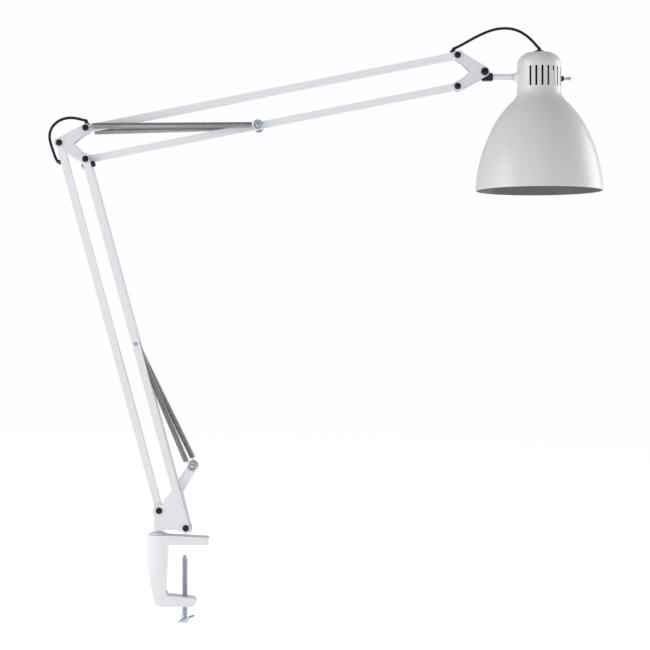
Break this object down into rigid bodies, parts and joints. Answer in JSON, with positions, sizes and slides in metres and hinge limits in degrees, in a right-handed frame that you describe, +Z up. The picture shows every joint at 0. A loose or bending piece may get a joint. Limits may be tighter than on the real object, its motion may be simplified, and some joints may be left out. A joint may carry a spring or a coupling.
{
  "type": "swing arm desk lamp",
  "caption": "Clamp-on desk lamp with two spring-balanced parallelogram arms, V-shaped joint plates and a bell-shaped vented shade on a tilting knuckle.",
  "frame": {"origin": "middle of the clamp's upper jaw underside, where it rests on the desk top", "axes": "+Z up, +X towards the shade in the plane of the arms, Y across the arms"},
  "size_m": [0.7209, 0.1652, 0.7743],
  "materials": {
    "white_paint": "white powder coat, fine orange peel",
    "shade_paint": "white powder coat, satin",
    "grey_paint": "pale grey powder coat",
    "dark_screw": "blackened, oiled",
    "zinc": "bright zinc plate",
    "spring_steel": "dark nickel plate",
    "black_plastic": "satin black",
    "cord": "black, smooth",
    "lamp_holder": "black moulded holder",
    "bulb_glass": "frosted"
  },
  "bodies": {
    "clamp": {"clamp_frame": "white_paint"},
    "clamp_screw": {"clamp_screw": "zinc"},
    "tommy_bar": {"clamp_tommy_bar": "zinc"},
    "base": {"swivel_collar": "grey_paint", "swivel_post": "zinc", "base_bracket": "white_paint", "base_tube_pin": "dark_screw", "base_bar_pin": "dark_screw", "spring_lever_pin": "zinc"},
    "lower_tube": {"lower_tube": "white_paint", "lower_cord_grommet": "black_plastic"},
    "lower_bars": {"lower_bar_front": "white_paint", "lower_bar_rear": "white_paint", "lower_spring_anchor": "zinc", "travel_stop_bolt": "zinc", "travel_stop_buffer": "black_plastic"},
    "lower_springs": {"lower_spring_front": "spring_steel", "lower_spring_rear": "spring_steel"},
    "lower_hooks": {"lower_hook_front": "spring_steel", "lower_hook_rear": "spring_steel"},
    "elbow": {"elbow_plate_front": "grey_paint", "elbow_plate_rear": "grey_paint", "elbow_tube_pin": "dark_screw", "elbow_bar_pin": "dark_screw", "elbow_top_pin": "dark_screw", "elbow_cord_lower": "cord", "elbow_cord_upper": "cord"},
    "upper_top_tube": {"upper_top_tube": "white_paint", "elbow_cord_grommet": "black_plastic", "head_cord_grommet": "black_plastic"},
    "upper_bottom_tube": {"upper_bottom_tube": "white_paint", "upper_spring_anchor": "zinc", "upper_spring_front": "spring_steel", "upper_spring_rear": "spring_steel"},
    "upper_hooks": {"upper_hook_front": "spring_steel", "upper_hook_rear": "spring_steel"},
    "head": {"head_plate_front": "grey_paint", "head_plate_rear": "grey_paint", "head_top_pin": "dark_screw", "head_low_pin": "dark_screw", "head_tilt_pin": "dark_screw", "head_cord_arm": "cord", "head_cord_middle": "cord"},
    "knuckle": {"head_knuckle": "black_plastic", "head_cord_shade": "cord"},
    "shade": {"shade_stem": "white_paint", "shade_boss": "shade_paint", "shade": "shade_paint", "lamp_holder": "lamp_holder", "bulb": "bulb_glass", "switch_bush": "black_plastic", "cord_gland": "black_plastic"},
    "switch": {"switch_lever": "zinc"}
  },
  "joints": [
    {"name": "clamp_screw_travel", "type": "slide", "parent": "clamp", "child": "clamp_screw", "axis": [0, 0, 1], "range_m": [-0.025, 0.012]},
    {"name": "tommy_bar_slide", "type": "slide", "parent": "clamp_screw", "child": "tommy_bar", "axis": [0.342, 0.9397, 0], "range_m": [-0.02, 0.01]},
    {"name": "base_swivel", "type": "hinge", "parent": "clamp", "child": "base", "pos_m": [-0.04, 0, 0], "axis": [0, 0, 1], "continuous": true},
    {"name": "lower_arm", "type": "hinge", "parent": "base", "child": "lower_tube", "pos_m": [-0.0381, 0, 0.0437], "axis": [0, 1, 0], "range_deg": [-20, 10]},
    {"name": "lower_bars_turn", "type": "hinge", "parent": "base", "child": "lower_bars", "pos_m": [-0.0029, 0, 0.0219], "axis": [0, 1, 0], "range_deg": [-20, 10]},
    {"name": "elbow_turn", "type": "hinge", "parent": "lower_tube", "child": "elbow", "pos_m": [-0.16767, 0, 0.52092], "axis": [0, 1, 0], "range_deg": [-10, 20], "deforming": ["elbow_cord_lower"]},
    {"name": "upper_arm", "type": "hinge", "parent": "elbow", "child": "upper_top_tube", "pos_m": [-0.13247, 0, 0.53952], "axis": [0, 1, 0], "range_deg": [-30, 30], "deforming": ["elbow_cord_upper"]},
    {"name": "upper_bottom_turn", "type": "hinge", "parent": "elbow", "child": "upper_bottom_tube", "pos_m": [-0.13247, 0, 0.49912], "axis": [0, 1, 0], "range_deg": [-30, 30]},
    {"name": "head_turn", "type": "hinge", "parent": "upper_top_tube", "child": "head", "pos_m": [0.34884, 0, 0.63456], "axis": [0, 1, 0], "range_deg": [-30, 30], "deforming": ["head_cord_arm"]},
    {"name": "head_tilt", "type": "hinge", "parent": "head", "child": "knuckle", "pos_m": [0.38414, 0, 0.61316], "axis": [0, 1, 0], "range_deg": [-60, 55], "deforming": ["head_cord_middle"]},
    {"name": "shade_roll", "type": "hinge", "parent": "knuckle", "child": "shade", "pos_m": [0.4, 0, 0.6068], "axis": [1, 0, 0], "range_deg": [-90, 90], "deforming": ["head_cord_shade"]},
    {"name": "switch_toggle", "type": "hinge", "parent": "shade", "child": "switch", "pos_m": [0.4874, 0, 0.6048], "axis": [0, 1, 0], "range_deg": [-10, 10]},
    {"name": "lower_spring_swing", "type": "hinge", "parent": "lower_bars", "child": "lower_springs", "pos_m": [-0.06757, 0, 0.26008], "axis": [0, 1, 0], "range_deg": [-20, 20]},
    {"name": "lower_spring_stretch", "type": "slide", "parent": "lower_springs", "child": "lower_hooks", "axis": [0.418, 0, -0.9085], "range_m": [-0.03, 0.03], "deforming": ["lower_spring_front", "lower_spring_rear", "lower_hook_front", "lower_hook_rear"]},
    {"name": "upper_spring_stretch", "type": "slide", "parent": "upper_bottom_tube", "child": "upper_hooks", "axis": [-0.9999, 0, -0.0161], "range_m": [-0.03, 0.03], "deforming": ["upper_spring_front", "upper_spring_rear", "upper_hook_front", "upper_hook_rear"]}
  ],
  "couplings": [
    {"joint": "lower_bars_turn", "follows": "lower_arm", "ratio": 1},
    {"joint": "elbow_turn", "follows": "lower_arm", "ratio": -1},
    {"joint": "upper_bottom_turn", "follows": "upper_arm", "ratio": 1},
    {"joint": "head_turn", "follows": "upper_arm", "ratio": -1},
    {"joint": "lower_spring_swing", "follows": "lower_arm", "ratio": 0.352},
    {"joint": "lower_spring_stretch", "follows": "lower_arm", "m_per_rad": -0.047441},
    {"joint": "upper_spring_stretch", "follows": "upper_arm", "m_per_rad": 0.038847}
  ]
}
